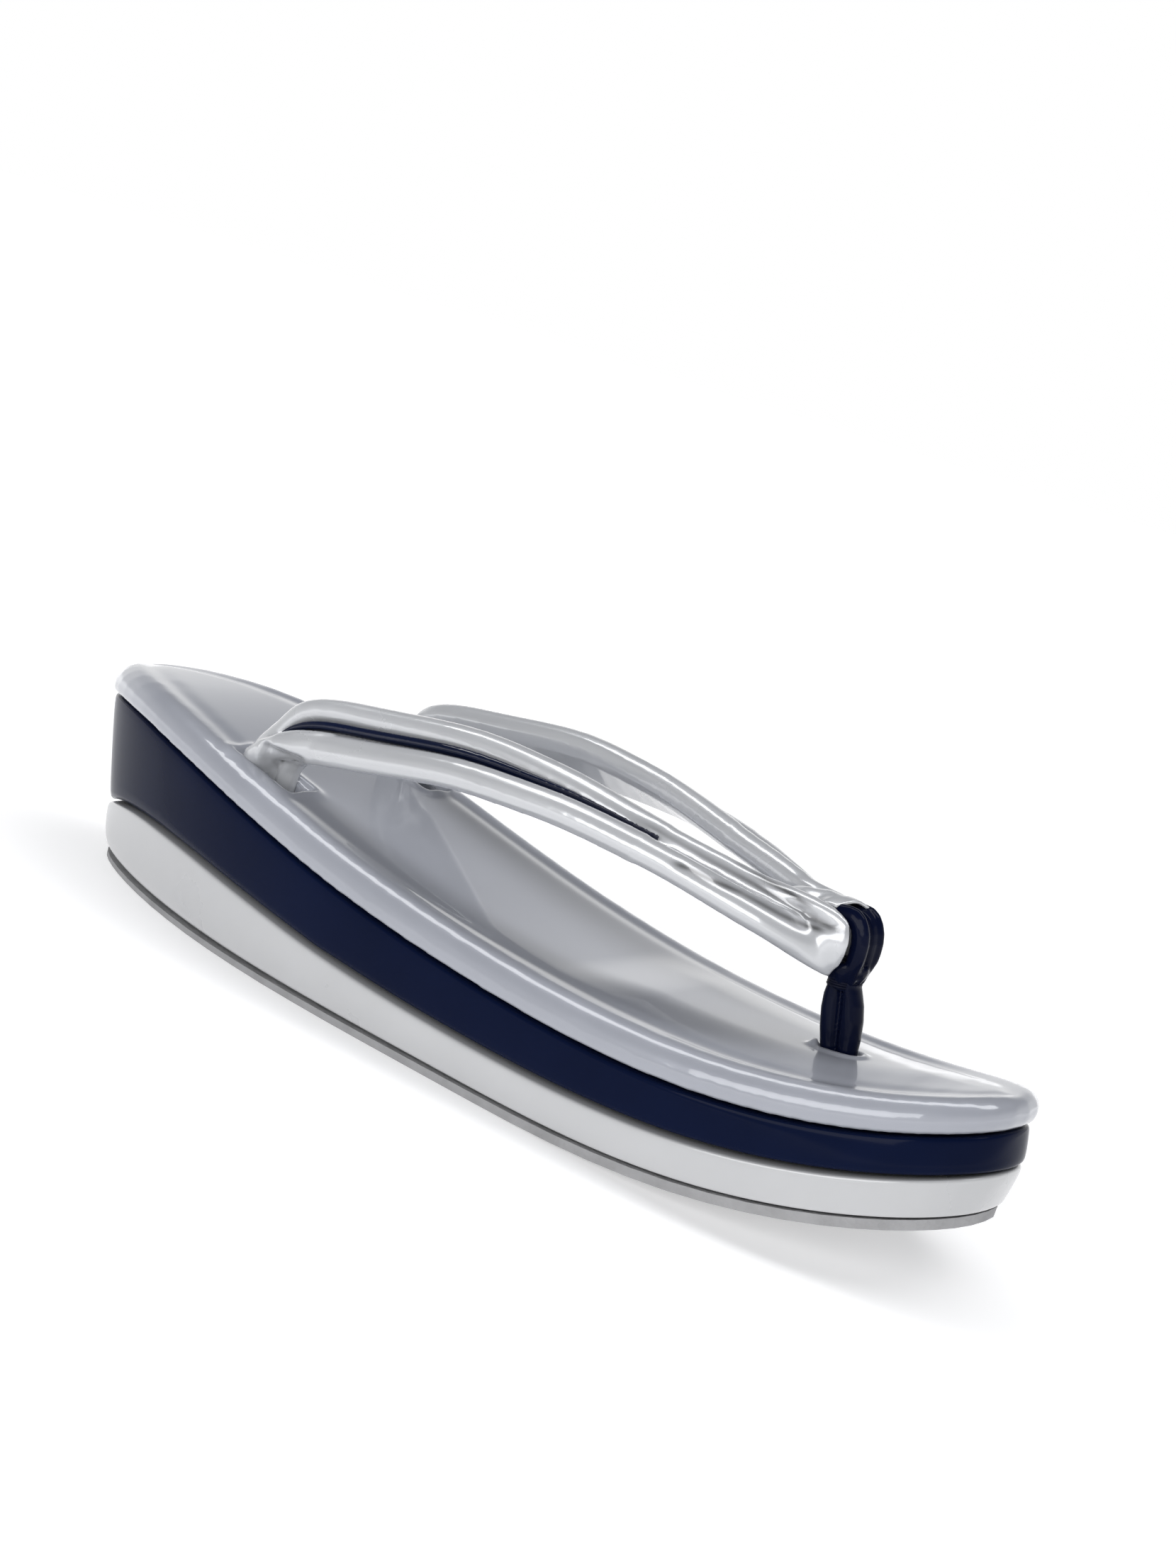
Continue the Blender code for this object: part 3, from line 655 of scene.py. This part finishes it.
smooth_where(strap, "front", x > FRONT_FROM, FRONT_ROUNDS)
# The folds are pressed in, and painted shade is laid along them to darken the strap's colour.
crease_piece(strap, FOLD_LINES)
apply_modifier(strap, "SMOOTH", factor=SMOOTH_SHARE, iterations=CREASED_ROUNDS)
smooth_where(strap, "front_folds", points_of(strap)[:, 0] > FRONT_FROM, FRONT_FOLD_ROUNDS)
silver_strap = enamel("silver_strap_enamel", color=(0.54, 0.55, 0.57), metallic=0.30,
                      roughness=0.26, specular=0.5, coat=0.9, coat_roughness=0.06,
                      mottle=0.03, peel=0.05)
cover(strap, silver_strap)


# Front tab. The end of the silver strap cover, folded up out of the valley between the rolls and
# drawn over the loop, where its raw edge shows as a thin light lip.
TAB_GRID = (42, 22)
TAB_THICKNESS = 0.7 * MM
TAB_ROWS = ((53.0, 56.4), (56.0, 57.8), (59.0, 59.0), (62.0, 60.1), (66.0, 60.9), (70.0, 61.4),
            (74.0, 61.3))
TAB_NEAR_LENGTH = 17.6 * MM
TAB_FAR_LENGTH = 22.0 * MM
TAB_HALF_WIDTH = 4.5 * MM
TAB_ROOT_SHARE = 0.22
TAB_WIDENING = 1.5
TAB_SIDE_DROP = 1.7 * MM
POCKET = namedtuple("Pocket", "forward sideways length width depth")(
    0.66, -0.62, 0.12, 0.34, 1.1 * MM)
CRUMPLE = namedtuple("Crumple", "forward sideways height onset")(21.0, 5.0, 0.12 * MM, 3.0)

bpy.ops.object.select_all(action="DESELECT")
bpy.ops.mesh.primitive_grid_add(x_subdivisions=TAB_GRID[0], y_subdivisions=TAB_GRID[1],
                                size=2.0 * MM, location=(0.0, 0.0, 0.0))
tab = bpy.context.object
tab.name = "strap_front_tab"
points = points_of(tab)
forward = (points[:, 0] / MM + 1.0) / 2.0
sideways = points[:, 1] / MM
length = TAB_NEAR_LENGTH + (TAB_FAR_LENGTH - TAB_NEAR_LENGTH) * (sideways + 1.0) / 2.0
tab_x = TAB_ROWS[0][0] * MM + forward * length
tab_top = np.interp(tab_x / MM, *zip(*TAB_ROWS)) * MM
widening = TAB_ROOT_SHARE + (1.0 - TAB_ROOT_SHARE) * ease(forward * TAB_WIDENING)
pressed = bell(forward - POCKET.forward, POCKET.length)
pressed *= bell(sideways - POCKET.sideways, POCKET.width)
crumpled = np.sin(forward * CRUMPLE.forward + sideways * CRUMPLE.sideways)
crumpled *= CRUMPLE.height * ease(forward * CRUMPLE.onset)
points[:, 0] = tab_x
points[:, 1] = TAB_HALF_WIDTH * sideways * widening
points[:, 2] = tab_top - TAB_SIDE_DROP * sideways ** 2 - POCKET.depth * pressed + crumpled
set_points(tab, points)
apply_modifier(tab, "SOLIDIFY", thickness=TAB_THICKNESS, offset=-1.0)
apply_modifier(tab, "SUBSURF", levels=1, render_levels=1)
cover(tab, silver_strap)
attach(tab, "root")


# Strap inlays. Piping of the navy vinyl, laid into the groove between the two rolls and pointed
# at both ends.
INLAY_VOXEL = 0.25 * MM
INLAY_ROUNDS = 3

piping_enamel = enamel("navy_piping_enamel", color=NAVY, metallic=0.0, roughness=0.10,
                       specular=0.20, coat=0.45, coat_roughness=0.03, mottle=0.12, peel=0.03)
for side in ("near", "far"):
    inlay = skin_of("strap_inlay_" + side, "piping_" + side)
    even_skin(inlay, INLAY_VOXEL, INLAY_ROUNDS)
    cover(inlay, piping_enamel)


# Toe post. Two padded tubes of the navy vinyl, sewn along the groove between them and pinched at
# the top, where they are tied.
POST_VOXEL = 0.25 * MM
POST_ROUNDS = 4
POST_FOOT = (79.9, 29.0)
POST_TOP = (75.5, 46.6)
PostRing = namedtuple("PostRing", "share offset along across")
POST_RINGS = (
    PostRing(0.00, 1.70, 1.90, 2.0),
    PostRing(0.20, 1.80, 2.00, 2.2),
    PostRing(0.42, 2.05, 2.25, 2.6),
    PostRing(0.62, 2.15, 2.30, 2.7),
    PostRing(0.78, 2.00, 2.15, 2.7),
    PostRing(0.90, 1.70, 1.75, 2.8),
    PostRing(0.96, 1.50, 1.50, 2.9),
    PostRing(1.00, 1.60, 1.60, 3.0),
)


def post_tube(name, side):
    """One padded tube of the post, in front of its seam or behind it."""
    rings = []
    for share, offset, along, across in POST_RINGS:
        middle = POST_FOOT[0] + (POST_TOP[0] - POST_FOOT[0]) * share
        height = POST_FOOT[1] + (POST_TOP[1] - POST_FOOT[1]) * share
        rings.append(Ring(middle + offset * side, 0.0, height, 0, along, across))
    return ring_tube(name, rings)


post = post_tube("post_tubes", 1.0)
join_to(post, [post_tube("post_tube_rear", -1.0)])
even_skin(post, POST_VOXEL, POST_ROUNDS)
black_navy = enamel("black_navy_enamel", color=(0.0020, 0.0036, 0.0150), metallic=0.0,
                    roughness=0.18, specular=0.05, coat=0.05, coat_roughness=0.06,
                    mottle=0.25, peel=0.25)
cover(post, black_navy)
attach(post, "root")
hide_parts("toe_post")


# Toe loop. A padded band of the navy vinyl that goes over the joined front of the strap, with
# rounded ridges along it. Its two ends are gathered under the strap and tied to the post with a
# waxed navy thread.
LOOP_VOXEL = 0.25 * MM
LOOP_ROUNDS = 5
LOOP_DIP = 3.2 * MM
LOOP_DIP_TO = 77.0 * MM
LOOP_DIP_LENGTH = 12.0 * MM
LOOP_DIP_ABOVE = 56.0 * MM
LOOP_DIP_FADE = 3.0 * MM
LOOP_RIDGES = namedtuple("LoopRidges", "count height above fade")(
    3.0, 0.28 * MM, 48.0 * MM, 4.0 * MM)
LOOP_PLEATS = namedtuple("LoopPleats", "count height level reach")(
    9.0, 0.14 * MM, 46.6 * MM, 1.3 * MM)
GATHER_RINGS = (
    Ring(75.5, 0.0, 44.6, 0, 2.6, 3.3),
    Ring(75.3, 0.0, 45.7, 0, 2.7, 3.5),
    Ring(75.0, 0.0, 46.7, 0, 3.4, 4.1),
    Ring(74.7, 0.0, 48.0, 0, 4.3, 4.7),
    Ring(74.8, 0.0, 49.2, 0, 4.4, 4.8),
    Ring(75.4, 0.0, 50.0, 0, 3.6, 4.4),
)
THREAD_LEVELS = (45.25, 45.75, 46.2)
THREAD_RADIUS = 3.05 * MM
THREAD_THICKNESS = 0.27 * MM
THREAD_SEGMENTS = (48, 10)
THREAD_OVAL = (0.93, 1.18, 1.0)
THREAD_TILT = math.radians(7.0)

loop = skin_of("toe_loop", "loop_band")
join_to(loop, [ring_tube("loop_gather", GATHER_RINGS)])
even_skin(loop, LOOP_VOXEL, LOOP_ROUNDS)
points = points_of(loop)
x, y, z = points[:, 0], points[:, 1], points[:, 2]
z -= (LOOP_DIP * ease((LOOP_DIP_TO - x) / LOOP_DIP_LENGTH)
      * ease((z - LOOP_DIP_ABOVE) / LOOP_DIP_FADE))
angle = np.arctan2(y, x - GATHER_RINGS[1].x * MM)
pleats = np.cos(angle * LOOP_PLEATS.count) * LOOP_PLEATS.height
pleats *= bell(z - LOOP_PLEATS.level, LOOP_PLEATS.reach)
ridges = np.cos(y / LOOP_EDGE * math.pi * LOOP_RIDGES.count) * LOOP_RIDGES.height
ridges *= ease((z - LOOP_RIDGES.above) / LOOP_RIDGES.fade)
points += normals_of(loop) * (pleats + ridges)[:, None]
set_points(loop, points)
cover(loop, black_navy)

threads = []
for level in THREAD_LEVELS:
    bpy.ops.object.select_all(action="DESELECT")
    bpy.ops.mesh.primitive_torus_add(major_radius=THREAD_RADIUS, minor_radius=THREAD_THICKNESS,
                                     major_segments=THREAD_SEGMENTS[0],
                                     minor_segments=THREAD_SEGMENTS[1])
    bpy.ops.object.mode_set(mode="EDIT")
    bpy.ops.mesh.select_all(action="SELECT")
    bpy.ops.transform.resize(value=THREAD_OVAL, center_override=(0.0, 0.0, 0.0))
    bpy.ops.transform.rotate(value=THREAD_TILT, orient_axis="Y",
                             center_override=(0.0, 0.0, 0.0))
    bpy.ops.transform.translate(value=(GATHER_RINGS[1].x * MM, 0.0, level * MM))
    bpy.ops.object.mode_set(mode="OBJECT")
    threads.append(bpy.context.object)
tie = threads[0]
tie.name = "tie_thread"
join_to(tie, threads[1:])
cover(tie, enamel("waxed_thread", color=(0.004, 0.005, 0.014), metallic=0.0, roughness=0.45,
                  specular=0.1, coat=0.0, coat_roughness=0.3, mottle=0.3, peel=0.6))
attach(tie, "root")

bpy.ops.object.select_all(action="DESELECT")
